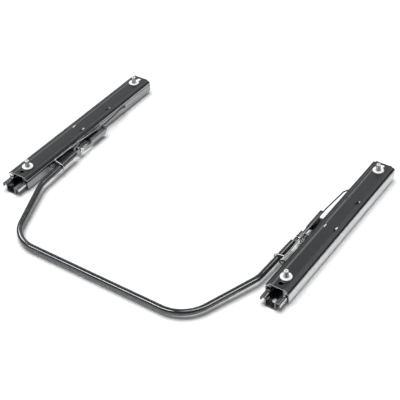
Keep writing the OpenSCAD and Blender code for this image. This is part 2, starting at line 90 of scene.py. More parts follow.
def linear(text):
    """Turns an sRGB hex colour into linear red, green and blue, by the standard curve."""
    srgb = np.array([int(text[i:i + 2], 16) for i in (1, 3, 5)]) / 255.0
    low = srgb / 12.92
    high = ((srgb + 0.055) / 1.055) ** 2.4
    return tuple(float(c) for c in np.where(srgb <= 0.04045, low, high))


def length(title, text, value):
    """A length property whose default is given in millimetres."""
    return bpy.props.FloatProperty(name=title, description=text, default=value * MM, min=0.0, precision=5,
                                   subtype="DISTANCE", unit="LENGTH")


def colour(title, text, value):
    """A colour property whose default is given as an sRGB hex value."""
    return bpy.props.FloatVectorProperty(name=title, description=text, default=linear(value), size=3,
                                         min=0.0, max=1.0, subtype="COLOR")


class SlideRailSizes(bpy.types.PropertyGroup):
    """Sizes of the finer round pieces."""

    stud_d: length("Stud diameter", "Outer diameter of the stud's thread", 8.0)
    stud_neck_d: length("Stud neck diameter", "Diameter of the plain neck in the cover and the washer", 8.4)
    stud_h: length("Stud height", "Height of a stud above the cover", 14.0)
    stud_head_d: length("Stud head diameter", "Diameter of the head under the cover", 12.0)
    stud_head_h: length("Stud head height", "Height of the head under the cover", 2.6)
    thread_pitch: length("Thread pitch", "Pitch of the stud's thread", 1.25)
    thread_deep: length("Thread depth", "Depth of the stud's thread", 0.62)
    washer_d: length("Washer diameter", "Outer diameter of a washer", 20.5)
    washer_t: length("Washer thickness", "Thickness of a washer", 2.0)
    rivet_d: length("Rivet diameter", "Diameter of the pivot rivet's shank", 6.0)
    rivet_head_d: length("Rivet head diameter", "Diameter of the pivot rivet's heads", 10.0)
    rivet_head_h: length("Rivet head height", "Height of the pivot rivet's heads", 1.8)
    spacer_d: length("Spacer diameter", "Outer diameter of the spacer on the pivot", 8.0)
    wire_d: length("Wire diameter", "Diameter of the spring wire", 2.5)
    wire_bend: length("Wire bend radius", "Bend radius of the spring wire's corners", 4.0)
    bar_d: length("Bar diameter", "Outer diameter of the release bar", 11.0)
    bar_wall: length("Bar wall", "Wall thickness of the release bar", 1.5)


class SlideRailColours(bpy.types.PropertyGroup):
    """Colours of the finishes."""

    cover: colour("Cover", "Satin black coat of the covers", "#2e2f31")
    # cover_shade is painted shade: a near black laid outside the covers' bends, in and ahead of the lances
    # and round the end holes
    cover_shade: colour("Cover rims", "Thick coat on the rims, and the dark of lances and holes", "#121213")
    # cover_ridge_sheen is a painted highlight along the covers' ridges, where their flanks would catch the
    # light
    cover_ridge_sheen: colour("Cover wear", "Coat rubbed thin along the ridges", "#6f7173")
    # cover_bare_and_sheen is bare steel on cut faces and tongues, with painted highlights on the tongues,
    # beside the front slit and along the rims' lower hems
    cover_bare_and_sheen: colour("Cover cut edges", "Bare steel where the covers were cut and lanced", "#d4d6d8")
    lower: colour("Lower rails", "Oiled steel of the lower rails", "#7d8082")
    # lower_lip_sheen is a painted reflection of the pale floor on the outer faces of the lower rails' lips
    lower_lip_sheen: colour("Lower rail lips", "Steel rolled bright on the outer faces of the lips", "#d4d6d7")
    zinc: colour("Outer zinc", "Bright zinc on the outer guide channels", "#e4e6e7")
    # zinc_shaded is a darker copy of the same zinc, painted shade for the inner guide channels
    zinc_shaded: colour("Inner zinc", "Dull zinc on the inner guide channels", "#a3a5a7")
    # shade_and_wire_dark is painted shade round the latch, under the covers' rims and on the levers' upper
    # faces, and also darkens the wires behind the latch
    shade_and_wire_dark: colour("Grease", "Dark grease round the latch and dark oil on the wires", "#101011")
    lever: colour("Levers", "Grey zinc on the levers, brackets and wire clips", "#9c9fa1")
    stud: colour("Studs", "Grey zinc on the studs", "#848688")
    # stud_top_highlight is a painted highlight: white on the studs' upper ends
    stud_top_highlight: colour("Stud ends", "Frosted white zinc on the flat ends of the studs", "#f2f2f1")
    washer: colour("Washers", "Matt white zinc on the washers", "#f4f4f3")
    rivet: colour("Rivets", "White zinc on the pivot rivets and spacers", "#e2e3e4")
    wire: colour("Spring wire", "Drawn spring steel", "#b0b1b2")
    bar: colour("Release bar", "Dark metallic lacquer on the release bar", "#5d5f61")
    cage: colour("Ball cages", "Moulded plastic of the ball cages", "#3a3b3d")
    ball: colour("Balls", "Ground steel of the balls", "#d2d4d6")
    floor: colour("Floor", "Plain pale floor", "#f4f4f4")


def put_mesh(name, points, faces, material):
    """Makes a smooth object from points in millimetres, with doubled points merged and faces turned out."""
    tiny, crease = 1e-4 * MM, math.radians(35)
    mesh = bpy.data.meshes.new(name)
    mesh.from_pydata((points * MM).tolist(), [], faces.tolist())
    work = bmesh.new()
    work.from_mesh(mesh)
    bmesh.ops.remove_doubles(work, verts=work.verts, dist=tiny)
    bmesh.ops.dissolve_degenerate(work, edges=work.edges, dist=tiny)
    bmesh.ops.recalc_face_normals(work, faces=work.faces)
    work.to_mesh(mesh)
    work.free()
    mesh.shade_smooth()
    mesh.set_sharp_from_angle(angle=crease)
    made = bpy.data.objects.new(name, mesh)
    bpy.context.scene.collection.objects.link(made)
    mesh.materials.append(material)
    return made


def grid_faces(rows, columns, closed_rows):
    """Quads between the rows of a grid whose columns close on themselves; its rows close if asked."""
    last = rows if closed_rows else rows - 1
    i, j = np.meshgrid(np.arange(last), np.arange(columns), indexing="ij")
    near, far = i * columns, ((i + 1) % rows) * columns
    across = (j + 1) % columns
    return np.stack([near + j, near + across, far + across, far + j], axis=-1).reshape(-1, 4)


def joined(parts):
    """Puts several (points, faces) pairs into one pair."""
    starts = np.cumsum([0] + [len(p) for p, _ in parts[:-1]])
    return np.concatenate([p for p, _ in parts]), np.concatenate([f + s for (_, f), s in zip(parts, starts)])


def lathe(profile, columns, origin, axis_x, thread=None):
    """Turns a profile of (radius, height) rows about a line through origin.

    Each point is origin + height along the axis + radius towards its angle. thread(height, angle) is a depth
    that is taken off the radius. The axis is +Z, or the X axis with the sign axis_x gives.
    """
    radius, height = np.array(profile, float).T
    angle = np.arange(columns) * 2 * math.pi / columns
    r = np.repeat(radius[:, None], columns, axis=1)
    if thread is not None:
        r = r - thread(height[:, None], angle[None, :])
    h = np.repeat(height[:, None], columns, axis=1)
    u, v = r * np.cos(angle), r * np.sin(angle)
    points = np.stack([u, v, h] if axis_x == 0 else [axis_x * h, u, v], axis=-1).reshape(-1, 3)
    return points + np.array(origin), grid_faces(len(radius), columns, False)


def arc_profile(centre, radius, start, end, steps):
    """Points of a quarter round in a profile: centre + radius at evenly spaced angles, in degrees."""
    angle = np.radians(np.linspace(start, end, steps))
    return np.stack([centre[0] + radius * np.cos(angle), centre[1] + radius * np.sin(angle)], axis=-1)


def rounded_path(corners, radii, steps):
    """Line through corner points with each inner corner replaced by an arc that touches both of its sides.

    The arc starts r tan(turn / 2) before the corner and swings about a centre that lies r to the inner side.
    """
    corners = np.array(corners, float)
    out = [corners[:1]]
    for before, corner, after, r in zip(corners[:-2], corners[1:-1], corners[2:], radii):
        u = (corner - before) / np.linalg.norm(corner - before)
        v = (after - corner) / np.linalg.norm(after - corner)
        turn = math.acos(float(np.clip(u @ v, -1, 1)))
        inner = v - u * (u @ v)
        inner = inner / np.linalg.norm(inner)
        start = corner - u * r * math.tan(turn / 2)
        swing = np.linspace(0, turn, steps)[:, None]
        out.append(start + r * (np.sin(swing) * u + (1 - np.cos(swing)) * inner))
    out.append(corners[-1:])
    return np.concatenate(out)


def dense_path(path, step):
    """The same line with points no further apart than step, found by its length."""
    digits = 4
    gaps = np.linalg.norm(np.diff(path, axis=0), axis=1)
    run = np.concatenate([[0], np.cumsum(gaps)])
    added = np.arange(0, run[-1], step)
    marks = np.unique(np.round(np.concatenate([run, added]), digits))
    return np.stack([np.interp(marks, run, path[:, k]) for k in range(3)], axis=-1)


def path_sides(path, lean):
    """Two directions square to a path at each of its points, the first also square to the vector lean."""
    along = np.gradient(path, axis=0)
    along = along / np.linalg.norm(along, axis=1)[:, None]
    first = np.cross(along, lean)
    first = first / np.linalg.norm(first, axis=1)[:, None]
    return first, np.cross(along, first)


def rings(path, radius, columns, lean):
    """Circles of that radius round each point of a path, as rows of a grid."""
    first, second = path_sides(path, np.array(lean, float))
    angle = np.arange(columns) * 2 * math.pi / columns
    radius = np.broadcast_to(np.asarray(radius, float), (len(path),))[:, None, None]
    turned = first[:, None] * np.cos(angle)[None, :, None] + second[:, None] * np.sin(angle)[None, :, None]
    return path[:, None] + radius * turned


def add_node(tree, kind, links=None, values=None, **settings):
    """Adds a shader node, sets its properties and input values, and links the given sockets to its inputs."""
    made = tree.nodes.new(kind)
    for key, value in settings.items():
        setattr(made, key, value)
    for key, value in (values or {}).items():
        made.inputs[key].default_value = value
    for key, socket in (links or {}).items():
        tree.links.new(socket, made.inputs[key])
    return made


def opaque(rgb):
    """A colour with full alpha."""
    return (rgb[0], rgb[1], rgb[2], 1.0)


def grain(tree, size, detail, stretch, span=None):
    """Noise whose blotches are size millimetres wide, drawn out along an axis by stretch.

    Where span is given, the middle of the noise's range is mapped to it.
    """
    middle, soft = (0.3, 0.7), 0.55
    place = add_node(tree, "ShaderNodeTexCoord").outputs["Object"]
    scale = tuple(1 / (size * MM * s) for s in stretch)
    scaled = add_node(tree, "ShaderNodeMapping", {"Vector": place}, {"Scale": scale}).outputs["Vector"]
    noise = add_node(tree, "ShaderNodeTexNoise", {"Vector": scaled},
                     {"Scale": 1.0, "Detail": detail, "Roughness": soft}).outputs[0]
    if span is None:
        return noise
    return add_node(tree, "ShaderNodeMapRange", {"Value": noise},
                    {"From Min": middle[0], "From Max": middle[1], "To Min": span[0],
                     "To Max": span[1]}).outputs["Result"]


def new_material(name, base, shade, blotch, rough, bump, shader, stretch=(1.0, 1.0, 1.0)):
    """A principled material: a colour with darker blotches, roughness from finer noise, and a fine bump.

    The blotches have shade times the colour. blotch and bump are (size in mm, strength), rough is the range
    of the roughness, and shader holds constants of the shader. Real grit is finer than a tenth of a
    millimetre, which wouldn't show in the render, so the bump is drawn a few tenths wide or more.
    """
    blotch_detail, wear_detail, grit_detail = 4.0, 3.0, 2.0
    wear_finer, grit_h = 3, 0.1
    made = bpy.data.materials.new(name)
    made.use_nodes = True
    tree = made.node_tree
    face = tree.nodes["Principled BSDF"]
    for key, value in shader.items():
        face.inputs[key].default_value = value
    patches = grain(tree, blotch[0], blotch_detail, stretch, (0.0, blotch[1]))
    darker = tuple(shade * c for c in base)
    mixed = add_node(tree, "ShaderNodeMix", {"Factor": patches}, {MIX_A: opaque(base), MIX_B: opaque(darker)},
                     data_type="RGBA")
    tree.links.new(mixed.outputs[MIX_RESULT], face.inputs["Base Color"])
    wear = grain(tree, blotch[0] / wear_finer, wear_detail, stretch, rough)
    tree.links.new(wear, face.inputs["Roughness"])
    grit = grain(tree, bump[0], grit_detail, stretch)
    raised = add_node(tree, "ShaderNodeBump", {"Height": grit},
                      {"Strength": bump[1], "Distance": grit_h * MM})
    tree.links.new(raised.outputs["Normal"], face.inputs["Normal"])
    return made


def paint(material, factor, rgb):
    """Lays a colour over a material's own: none of it where the factor is 0, all of it where it is 1."""
    tree = material.node_tree
    target = tree.nodes["Principled BSDF"].inputs["Base Color"]
    under = target.links[0].from_socket
    mixed = add_node(tree, "ShaderNodeMix", {"Factor": factor, MIX_A: under}, {MIX_B: opaque(rgb)},
                     data_type="RGBA")
    tree.links.new(mixed.outputs[MIX_RESULT], target)


def point_place(tree):
    """Sockets X, Y and Z of a point's place in the object's frame."""
    place = add_node(tree, "ShaderNodeTexCoord").outputs["Object"]
    return add_node(tree, "ShaderNodeSeparateXYZ", {"Vector": place}).outputs


def across_rail(tree, x):
    """Socket of x modulo the rail spacing, which is RAIL_X on the middle line of either rail."""
    spacing = 2 * RAIL_X * MM
    return add_node(tree, "ShaderNodeMath", {0: x}, {1: spacing}, operation="FLOORED_MODULO").outputs[0]


def upward(tree):
    """Socket of how far a face points up: 1 when it is level, 0 when it stands upright."""
    normal = add_node(tree, "ShaderNodeNewGeometry").outputs["True Normal"]
    return add_node(tree, "ShaderNodeSeparateXYZ", {"Vector": normal}).outputs["Z"]


def merged(tree, operation, factors):
    """Takes factors into one: by MULTIPLY where all of them have to hold, by MAXIMUM where any one does."""
    whole = factors[0]
    for factor in factors[1:]:
        whole = add_node(tree, "ShaderNodeMath", {0: whole, 1: factor}, operation=operation).outputs[0]
    return whole


def zone(tree, *limits):
    """Factor that is 1 where every socket is within its reach of its middle, in its own unit, and else 0."""
    held = [add_node(tree, "ShaderNodeMath", {0: socket}, {1: middle, 2: reach}, operation="COMPARE")
            for socket, middle, reach in limits]
    return merged(tree, "MULTIPLY", [made.outputs[0] for made in held])


def beyond(tree, across, reach):
    """Factor that is 1 further than reach millimetres from a rail's middle, and else 0."""
    within = zone(tree, (across, RAIL_X * MM, reach * MM))
    return add_node(tree, "ShaderNodeMath", {1: within}, {0: 1.0}, operation="SUBTRACT").outputs[0]


def fading(tree, socket, middle, outer, inner, strength):
    """Factor that rises from 0 at the distance outer from the middle to strength at inner, in millimetres."""
    away = add_node(tree, "ShaderNodeMath", {0: socket}, {1: middle * MM}, operation="SUBTRACT").outputs[0]
    away = add_node(tree, "ShaderNodeMath", {0: away}, operation="ABSOLUTE").outputs[0]
    return add_node(tree, "ShaderNodeMapRange", {"Value": away},
                    {"From Min": outer * MM, "From Max": inner * MM, "To Max": strength}).outputs["Result"]


def zinc_sheet(name, base):
    """Zinc plated on rolled strip: pale, with fine streaks along the rail and soft reflections."""
    return new_material(name, base, shade=0.65, blotch=(2.0, 0.7), rough=(0.28, 0.4), bump=(0.9, 0.12),
                        shader={"Metallic": 1.0}, stretch=(1.0, 30.0, 1.0))


def bolt_zinc(name, base, rough, metallic):
    """Zinc barrel-plated on small turned parts: a little frosted, with faint darker patches."""
    return new_material(name, base, shade=0.8, blotch=(3.0, 0.5), rough=rough, bump=(0.5, 0.1),
                        shader={"Metallic": metallic})


def dress(nodes, material):
    """Gives CAD nodes one material in all their slots."""
    for name in nodes:
        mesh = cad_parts[name].data
        mesh.materials.clear()
        mesh.materials.append(material)


def both(*names):
    """Names of the same nodes on the left and the right rail."""
    return [f"{side}_{name}" for side in SIDES for name in names]


def sign(side):
    """-1 for the left rail and 1 for the right one."""
    return -1 if side == "left" else 1


class SLIDERAIL_OT_lower_rails(bpy.types.Operator):
    """Finish the two lower rails"""

    bl_idname = "slide_rail.lower_rails"
    bl_label = "Lower rails"

    def execute(self, context):
        """Cold-rolled steel strip under thin oil: grey, black inside, where it mirrors itself, with a painted
        reflection of the pale floor on the outer faces of the lips."""
        colours = context.scene.slide_rail_colours
        steel = new_material("oiled_cold_rolled_steel", colours.lower, shade=0.55, blotch=(9.0, 0.8),
                             rough=(0.18, 0.32), bump=(0.8, 0.15), shader={"Metallic": 1.0},
                             stretch=(1.0, 8.0, 1.0))
        self.lip_sheen(steel, colours.lower_lip_sheen)
        dress(both("lower_rail"), steel)
        return {"FINISHED"}

    def lip_sheen(self, steel, bright):
        """Paints a reflection of the pale floor, as a bright colour, on all that is far from a rail's middle,
        which is the lips' outer faces.
        """
        tree = steel.node_tree
        lip_x = 18.6
        across = across_rail(tree, point_place(tree)["X"])
        paint(steel, beyond(tree, across, lip_x), bright)


class SLIDERAIL_OT_covers(bpy.types.Operator):
    """Finish the black covers of the upper rails"""

    bl_idname = "slide_rail.covers"
    bl_label = "Covers"

    def execute(self, context):
        """Steel strip coated satin black before it was pressed: even dark grey with a fine grit, and bare
        bright metal where the press cut it, at the ends, in the holes and slits and on the tongues. Painted
        highlights lie along the ridges, on the tongues, beside the front slit and along the rims' hems, and
        painted shade lies outside the bends, in the lances and round the end holes."""
        colours = context.scene.slide_rail_colours
        coat = new_material("satin_black_coated_pressed_steel", colours.cover, shade=0.8, blotch=(14.0, 0.6),
                            rough=(0.29, 0.32), bump=(0.7, 0.02),
                            shader={"Metallic": 0.0, "Specular IOR Level": 0.35})
        self.cover_marks(coat, colours)
        dress(both("cover"), coat)
        return {"FINISHED"}

    def cover_marks(self, coat, colours):
        """Lays three colours over the coat, and makes the dark marks matt.

        The painted highlight lies along the ridges, where their flanks would catch the light. The painted
        shade, a near black, lies outside the bends, in and beside the lances and round the end holes. The
        pale one is bare steel on upright cut faces and on the tongues, with painted highlights on the tongues
        and beside the front slit, and a painted highlight along the rims' lower hems. A mark's row is its
        middle across, half width, y and half length.
        """
        tree = coat.node_tree
        at = point_place(tree)
        across, along, height = across_rail(tree, at["X"]), at["Y"], at["Z"]
        bend, upright, hem_z, hem_h, hole_r = 18.5, 0.3, 20.0, 3.2, 5.3
        # Painted shade goes on all outside the bends
        outside = beyond(tree, across, bend)
        # Painted highlight along the rims' lower hems
        hem = merged(tree, "MULTIPLY", [outside, zone(tree, (height, hem_z * MM, hem_h * MM))])
        cut = zone(tree, (across, RAIL_X * MM, bend * MM), (upward(tree), 0.0, upright))
        # Bare steel with painted highlights on the tongues, and a painted highlight beside the front slit
        bright = self.patches(tree, across, along, (
            (11.7, 1.9, FRONT_LANCE_Y - 0.4, 3.2),  # front tongue: bare steel with a painted highlight
            (-8.2, 1.1, FRONT_LANCE_Y - 2.9, 4.0),  # painted highlight beside the front slit
            (12.8, 0.8, REAR_LANCE_Y + 1.5, 1.4)))  # edge of the rear tongue: bare steel with a painted highlight
        # Painted shade in and ahead of the lances and round the end holes, which are also made matt
        dark = self.patches(tree, across, along, (
            (12.0, 2.0, FRONT_LANCE_Y - 7.0, 3.0),  # painted shade ahead of the front tongue
            (10.5, 2.6, REAR_LANCE_Y - 3.0, 5.0)))  # painted shade round the rear tongue
        flat = add_node(tree, "ShaderNodeCombineXYZ", {"X": across, "Y": along}).outputs[0]
        for hole_y in (STUD_YS[0] - HOLE_STEP, STUD_YS[1] + HOLE_STEP):
            away = add_node(tree, "ShaderNodeVectorMath", {0: flat}, {1: (RAIL_X * MM, hole_y * MM, 0.0)},
                            operation="DISTANCE").outputs["Value"]
            dark.append(zone(tree, (away, 0.0, hole_r * MM)))
        deep = merged(tree, "MAXIMUM", dark)
        # Painted highlight along the ridges
        paint(coat, self.ridge_sheen(tree, across), colours.cover_ridge_sheen)
        # Painted shade outside the bends, in the lances and round the end holes
        paint(coat, merged(tree, "MAXIMUM", [outside, deep]), colours.cover_shade)
        # Bare steel on cut faces, and painted highlights on the tongues, beside the slit and along the hems
        paint(coat, merged(tree, "MAXIMUM", [cut, *bright, hem]), colours.cover_bare_and_sheen)
        dullness = tree.nodes["Principled BSDF"].inputs["Roughness"]
        gloss = dullness.links[0].from_socket
        tree.links.new(merged(tree, "MAXIMUM", [gloss, deep]), dullness)

    def patches(self, tree, across, along, rows):
        """A factor for each row, which is 1 in that row's oblong and else 0."""
        return [zone(tree, (across, (RAIL_X + off) * MM, wide * MM), (along, y * MM, run * MM))
                for off, wide, y, run in rows]

    def ridge_sheen(self, tree, across):
        """Factor of the painted highlight along the two ridges of a cover, falling to nothing a little to
        either side of each.
        """
        half, left_ridge, right_ridge = 2.2, -10.0, 16.6
        left = fading(tree, across, RAIL_X + left_ridge, half, 0.0, strength=0.8)
        right = fading(tree, across, RAIL_X + right_ridge, half, 0.0, strength=0.45)
        return merged(tree, "MAXIMUM", [left, right])


class SLIDERAIL_OT_guide_channels(bpy.types.Operator):
    """Finish the bright guide channels"""

    bl_idname = "slide_rail.guide_channels"
    bl_label = "Guide channels"

    def execute(self, context):
        """Zinc-plated strip: bright on the outer channels; on the inner ones a darker copy of it as painted
        shade, with more painted shade behind the latch and under the cover's rim.
        """
        colours = context.scene.slide_rail_colours
        dress(both("outer_channel"), zinc_sheet("bright_zinc_rolled_strip", colours.zinc))
        shaded_zinc = zinc_sheet("shaded_zinc_rolled_strip", colours.zinc_shaded)
        self.latch_shade(shaded_zinc, colours.shade_and_wire_dark)
        dress(both("inner_channel"), shaded_zinc)
        return {"FINISHED"}

    def latch_shade(self, zinc, shade_and_wire_dark):
        """Painted shade along the stretch behind the latch, fading out over its last millimetres, and in the
        corner under the cover's rim from there to the front."""
        tree = zinc.node_tree
        at = point_place(tree)
        along, height = at["Y"], at["Z"]
        middle, half, fade = -46.0, 54.0, 8.0
        corner_z, corner_half, corner_end = 19.6, 1.4, 10.0
        # Painted shade behind the latch, and in the corner under the rim ahead of it
        latch_shade_band = fading(tree, along, middle, half, half - fade, strength=0.95)
        ahead = add_node(tree, "ShaderNodeMath", {0: along}, {1: corner_end * MM}, operation="LESS_THAN")
        corner = zone(tree, (height, corner_z * MM, corner_half * MM))
        corner = merged(tree, "MULTIPLY", [corner, ahead.outputs[0]])
        paint(zinc, merged(tree, "MAXIMUM", [latch_shade_band, corner]), shade_and_wire_dark)


class SLIDERAIL_OT_latches(bpy.types.Operator):
    """Finish the levers, brackets and wire clips"""

    bl_idname = "slide_rail.latches"
    bl_label = "Latches"

    def execute(self, context):
        """Stamped steel in grey zinc: less bright than the rails, with a faint grain, and with painted shade
        darkening the faces that look up."""
        colours = context.scene.slide_rail_colours
        lever = new_material("grey_zinc_stamped_steel", colours.lever, shade=0.6, blotch=(5.0, 0.8),
                             rough=(0.16, 0.28), bump=(0.6, 0.15), shader={"Metallic": 1.0})
        self.top_shade(lever, colours.shade_and_wire_dark)
        dress(both("latch_lever", "bracket", "wire_clip"), lever)
        return {"FINISHED"}

    def top_shade(self, zinc, shade_and_wire_dark):
        """Paints shade, at 0.65 of the dark colour, on the faces that point up more than sideways."""
        tree = zinc.node_tree
        steep, darkness = 0.7, 0.65
        # Painted shade on the faces that look up
        level = add_node(tree, "ShaderNodeMath", {0: upward(tree)}, {1: steep}, operation="GREATER_THAN")
        thin = add_node(tree, "ShaderNodeMath", {0: level.outputs[0]}, {1: darkness}, operation="MULTIPLY")
        paint(zinc, thin.outputs[0], shade_and_wire_dark)


class SLIDERAIL_OT_bearings(bpy.types.Operator):
    """Finish the ball cages and balls"""

    bl_idname = "slide_rail.bearings"
    bl_label = "Balls and cages"

    def execute(self, context):
        """Ground bearing steel, mirror bright, in cages of moulded black nylon with a faint mould grain."""
        colours = context.scene.slide_rail_colours
        nylon = new_material("moulded_black_nylon", colours.cage, shade=0.8, blotch=(6.0, 0.5),
                             rough=(0.4, 0.55), bump=(0.5, 0.1), shader={"Metallic": 0.0})
        steel = new_material("ground_bearing_steel", colours.ball, shade=0.9, blotch=(1.5, 0.4),
                             rough=(0.08, 0.14), bump=(0.3, 0.03), shader={"Metallic": 1.0})
        dress(both("small_cages", "large_cages"), nylon)
        dress(both("small_balls", "large_balls"), steel)
        return {"FINISHED"}


class SLIDERAIL_OT_studs(bpy.types.Operator):
    """Turn the threaded studs"""

    bl_idname = "slide_rail.studs"
    bl_label = "Threaded studs"

    def execute(self, context):
        """Each stud is a lathe surface whose radius drops by a helical thread: depth times a triangle wave
        of height / pitch minus angle / turn, faded out at the washer and at the tip. The wave is stretched
        and cut off, which leaves narrow flats on the thread's crests and roots."""
        sizes, colours = context.scene.slide_rail_sizes, context.scene.slide_rail_colours
        zinc = bolt_zinc("grey_zinc_rolled_thread", colours.stud, (0.36, 0.5), 1.0)
        r, top = sizes.stud_d / 2 / MM, sizes.stud_h / MM
        head_r, head_h, head_edge = sizes.stud_head_d / 2 / MM, sizes.stud_head_h / MM, 0.3
        neck_r, neck_step, neck_edge = sizes.stud_neck_d / 2 / MM, 0.2, 0.1
        pitch, deep, stretched, crest = sizes.thread_pitch / MM, sizes.thread_deep / MM, 1.25, 0.1
        start, tip, plain_end, rows_per_turn = sizes.washer_t / MM + neck_step, 1.2, 0.2, 10
        dimple_r, dimple_h, dimple_edge, dimple_cone = 1.6, 1.5, 0.15, 0.4
        white_h, cover_gap = 0.55, 0.02
        # Painted highlight: white on the studs' upper ends
        self.white_top_highlight(zinc, colours.stud_top_highlight, CROWN_Z + top - white_h)

        def thread(height, angle):
            phase = np.mod(height / pitch - angle / (2 * math.pi), 1.0)
            cut = 1 - np.abs(2 * phase - 1)
            fade = np.clip((height - start) / pitch, 0, 1) * np.clip((top - plain_end - height) / tip, 0, 1)
            return deep * np.clip(stretched * cut - crest, 0, 1) * fade

        low, seat = -COVER_T - head_h, -COVER_T - cover_gap
        foot = [[0, low], [head_r - head_edge, low], [head_r, low + head_edge], [head_r, seat],
                [neck_r, seat], [neck_r, start - neck_edge], [neck_r - neck_edge, start]]
        rows = np.arange(start, top - tip, pitch / rows_per_turn)
        shank = np.stack([np.full(len(rows), r), rows], axis=-1)
        # Steps of the rounded end, inward from the shank and down from the top
        end_steps = ((0.1, 0.9), (0.25, 0.5), (0.6, 0.0))
        rounding = [[r - inward, top - down] for inward, down in end_steps]
        dimple = [[dimple_r + dimple_edge, top], [dimple_r, top - dimple_edge], [dimple_r, top - dimple_h],
                  [0, top - dimple_h - dimple_cone]]
        profile = np.concatenate([foot, shank, rounding, dimple])
        for side in SIDES:
            parts = [lathe(profile, TURNED_STEPS, (sign(side) * RAIL_X, y, CROWN_Z), 0, thread)
                     for y in STUD_YS]
            made = put_mesh(f"{side}_threaded_studs", *joined(parts), zinc)
            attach(made, "carriage")
            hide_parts(f"{side}_studs")
        return {"FINISHED"}

    def white_top_highlight(self, zinc, white, low):
        """Paints a white highlight, with no metal in its look, on all above that height in millimetres."""
        tree = zinc.node_tree
        height = point_place(tree)["Z"]
        above = add_node(tree, "ShaderNodeMath", {0: height}, {1: low * MM}, operation="GREATER_THAN")
        below = add_node(tree, "ShaderNodeMath", {0: height}, {1: low * MM}, operation="LESS_THAN")
        paint(zinc, above.outputs[0], white)
        tree.links.new(below.outputs[0], tree.nodes["Principled BSDF"].inputs["Metallic"])


class SLIDERAIL_OT_washers(bpy.types.Operator):
    """Turn the washers with their rolled edges"""

    bl_idname = "slide_rail.washers"
    bl_label = "Washers"

    def execute(self, context):
        """Each washer is a ring whose section is a rectangle with rounded corners, turned about the stud.

        Its zinc is frosted so white that it shows no metal glints, so the shader has no metal.
        """
        sizes = context.scene.slide_rail_sizes
        white = context.scene.slide_rail_colours.washer
        zinc = bolt_zinc("matt_white_zinc_pressed_washer", white, (0.45, 0.6), 0.0)
        outer, thick, round_r = sizes.washer_d / 2 / MM, sizes.washer_t / MM, 0.45
        neck_gap, washer_steps = 0.02, 72
        inner = sizes.stud_neck_d / 2 / MM + neck_gap
        section = np.concatenate([
            [[inner, 0.0]], arc_profile((outer - round_r, round_r), round_r, -90, 0, EDGE_STEPS),
            arc_profile((outer - round_r, thick - round_r), round_r, 0, 90, EDGE_STEPS),
            arc_profile((inner + round_r, thick - round_r), round_r, 90, 180, EDGE_STEPS), [[inner, 0.0]]])
        for side in SIDES:
            parts = [lathe(section, washer_steps, (sign(side) * RAIL_X, y, CROWN_Z), 0) for y in STUD_YS]
            made = put_mesh(f"{side}_round_washers", *joined(parts), zinc)
            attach(made, "carriage")
            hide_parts(f"{side}_washers")
        return {"FINISHED"}


class SLIDERAIL_OT_pivots(bpy.types.Operator):
    """Turn the pivot rivets and spacers"""

    bl_idname = "slide_rail.pivots"
    bl_label = "Pivot rivets"

    def execute(self, context):
        """A rivet is a lathe surface along X: shank, two heads with rolled edges, a bore in the set end. A
        spacer is a tube with bevelled ends on the same axis."""
        sizes = context.scene.slide_rail_sizes
        zinc = bolt_zinc("white_zinc_set_rivet", context.scene.slide_rail_colours.rivet, (0.2, 0.32), 1.0)
        r, head_r, head_h = sizes.rivet_d / 2 / MM, sizes.rivet_head_d / 2 / MM, sizes.rivet_head_h / MM
        inner = BRACKET_X - BRACKET_T - head_h
        outer = LEVER_X + SIDE_GAP
        bore_r, bore, cone, edge, bevel = 1.7, 5.0, 0.5, 0.6, 0.3
        end = outer + head_h
        rivet = np.concatenate([
            [[0, inner]], arc_profile((head_r - edge, inner + edge), edge, -90, 0, EDGE_STEPS),
            [[head_r, inner + head_h], [r, inner + head_h], [r, outer], [head_r, outer]],
            arc_profile((head_r - edge, end - edge), edge, 0, 90, EDGE_STEPS),
            [[bore_r + bevel, end], [bore_r, end - bevel], [bore_r, end - bore], [0, end - bore - cone]]])
        tube_r, span = sizes.spacer_d / 2 / MM, LEVER_X - LEVER_T - SIDE_GAP
        spacer = [[r, BRACKET_X], [tube_r - bevel, BRACKET_X], [tube_r, BRACKET_X + bevel],
                  [tube_r, span - bevel], [tube_r - bevel, span], [r, span], [r, BRACKET_X]]
        for side in SIDES:
            origin = (sign(side) * RAIL_X, PIVOT_Y, PIVOT_Z)
            for name, profile in (("pivot_rivet", rivet), ("spacer", spacer)):
                turned = lathe(profile, TURNED_STEPS, origin, -sign(side))
                made = put_mesh(f"{side}_turned_{name}", *turned, zinc)
                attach(made, "carriage")
                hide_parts(f"{side}_{name}")
        return {"FINISHED"}


